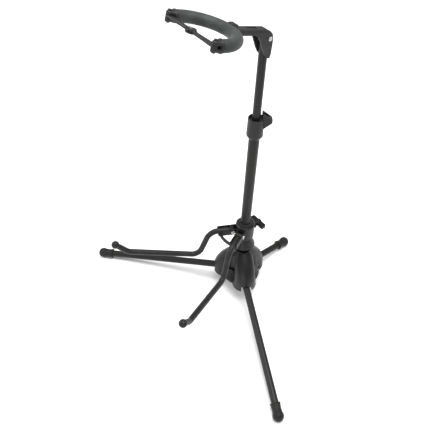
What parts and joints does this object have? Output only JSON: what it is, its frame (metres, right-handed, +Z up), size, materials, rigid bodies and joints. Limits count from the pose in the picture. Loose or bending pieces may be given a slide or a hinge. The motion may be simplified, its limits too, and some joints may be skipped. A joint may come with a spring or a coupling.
{
  "type": "guitar stand",
  "caption": "Folding tripod guitar stand with a telescoping column, padded support arms and a foam-covered neck yoke closed by a swinging gate.",
  "frame": {"origin": "on the floor, under the middle of the rear foot", "axes": "+Z up; the stand faces -Y; the rear leg points to +Y; +X is on the right of someone behind it"},
  "size_m": [0.624, 0.4348, 0.7183],
  "materials": {
    "moulded_black": "satin moulded nylon, charcoal black",
    "painted_tube": "satin black powder coat on steel tube",
    "foot_rubber": "matt black rubber",
    "arm_rubber": "smooth soft rubber sleeve, slight sheen",
    "foam": "closed-cell foam, dark grey",
    "gate_plastic": "satin moulded plastic",
    "knob_plastic": "satin moulded plastic",
    "button_plastic": "satin moulded plastic",
    "fastener_steel": "bright zinc plated steel",
    "spring_steel": "spring wire",
    "rod_steel": "blackened steel rod",
    "inner_plastic": "moulded plastic, unseen or little seen"
  },
  "bodies": {
    "hub": {"hub_housing": "moulded_black", "leg_pins": "fastener_steel", "tube_bolt": "fastener_steel", "tube_plug": "inner_plastic", "lower_tube": "painted_tube", "clamp_collar": "moulded_black", "collar_bush": "inner_plastic", "lock_spring": "spring_steel"},
    "leg_left": {"leg_knuckle_left": "inner_plastic", "leg_tube_left": "painted_tube", "foot_left": "foot_rubber"},
    "leg_right": {"leg_knuckle_right": "inner_plastic", "leg_tube_right": "painted_tube", "foot_right": "foot_rubber"},
    "leg_rear": {"leg_knuckle_rear": "inner_plastic", "leg_tube_rear": "painted_tube", "foot_rear": "foot_rubber"},
    "lock_button": {"lock_button": "button_plastic"},
    "mast": {"upper_tube": "painted_tube", "guide_bush": "inner_plastic", "head_plug": "inner_plastic"},
    "head": {"head_bracket": "moulded_black", "head_pin": "fastener_steel", "head_nut": "fastener_steel"},
    "yoke": {"yoke_stem": "rod_steel", "yoke_boss": "moulded_black", "yoke_core": "rod_steel", "yoke_foam": "foam", "yoke_cap_left": "moulded_black", "yoke_cap_right": "moulded_black", "gate_pin_left": "fastener_steel", "gate_pin_right": "fastener_steel"},
    "gate_left": {"gate_arm_left": "gate_plastic"},
    "gate_right": {"gate_arm_right": "gate_plastic", "gate_rivet": "fastener_steel"},
    "liner": {"bracket_liner": "inner_plastic"},
    "bracket": {"arm_bracket": "moulded_black", "knob_nut": "fastener_steel", "arm_pin_left": "fastener_steel", "arm_pin_right": "fastener_steel"},
    "knob": {"wing_knob": "knob_plastic", "knob_stud": "fastener_steel"},
    "arm_left": {"arm_core_left": "rod_steel", "arm_sleeve_left": "arm_rubber", "arm_tip_left": "arm_rubber"},
    "arm_right": {"arm_core_right": "rod_steel", "arm_sleeve_right": "arm_rubber", "arm_tip_right": "arm_rubber"}
  },
  "joints": [
    {"name": "leg_left_fold", "type": "hinge", "parent": "hub", "child": "leg_left", "pos_m": [-0.02786, -0.1742, 0.04825], "axis": [0.5358, -0.8408, 0.0773], "range_deg": [0, 78]},
    {"name": "leg_right_fold", "type": "hinge", "parent": "hub", "child": "leg_right", "pos_m": [0.02786, -0.1742, 0.04825], "axis": [0.5358, 0.8408, -0.0773], "range_deg": [0, 78]},
    {"name": "leg_rear_fold", "type": "hinge", "parent": "hub", "child": "leg_rear", "pos_m": [0, -0.12373, 0.04361], "axis": [-1, 0, 0], "range_deg": [0, 78]},
    {"name": "lock_press", "type": "slide", "parent": "hub", "child": "lock_button", "axis": [-0.6561, -0.7515, 0.0691], "range_m": [0, 0.002], "stiffness_N_per_m": 700, "springref_m": -0.002},
    {"name": "mast_slide", "type": "slide", "parent": "hub", "child": "mast", "axis": [0, 0.0915, 0.9958], "range_m": [-0.05, 0.16]},
    {"name": "head_fold", "type": "hinge", "parent": "mast", "child": "head", "pos_m": [0.00021, -0.10004, 0.64035], "axis": [0.9945, -0.1041, 0.0096], "range_deg": [0, 85]},
    {"name": "yoke_swivel", "type": "hinge", "parent": "head", "child": "yoke", "pos_m": [-0.00605, -0.15694, 0.67212], "axis": [-0.1009, -0.9317, 0.3489], "range_deg": [-15, 15]},
    {"name": "gate_left_swing", "type": "hinge", "parent": "yoke", "child": "gate_left", "pos_m": [-0.07426, -0.24347, 0.70625], "axis": [-0.0274, -0.348, -0.9371], "range_deg": [0, 100]},
    {"name": "gate_right_swing", "type": "hinge", "parent": "yoke", "child": "gate_right", "pos_m": [0.0421, -0.25565, 0.70737], "axis": [0.0274, 0.348, 0.9371], "range_deg": [0, 100]},
    {"name": "arms_height", "type": "slide", "parent": "hub", "child": "liner", "axis": [0, 0.0915, 0.9958], "range_m": [0, 0.04]},
    {"name": "arms_turn", "type": "hinge", "parent": "liner", "child": "bracket", "pos_m": [0, -0.14512, 0.17151], "axis": [0, 0.0915, 0.9958], "range_deg": [-20, 20]},
    {"name": "knob_turn", "type": "hinge", "parent": "bracket", "child": "knob", "pos_m": [0.00355, -0.11081, 0.17539], "axis": [0.1045, 0.9903, -0.091], "continuous": true},
    {"name": "arm_left_fold", "type": "hinge", "parent": "bracket", "child": "arm_left", "pos_m": [-0.0159, -0.16935, 0.18579], "axis": [-0.848, 0.5277, -0.0485], "range_deg": [0, 90]},
    {"name": "arm_right_fold", "type": "hinge", "parent": "bracket", "child": "arm_right", "pos_m": [0.01026, -0.17209, 0.18604], "axis": [-0.9397, -0.3406, 0.0313], "range_deg": [0, 90]}
  ]
}
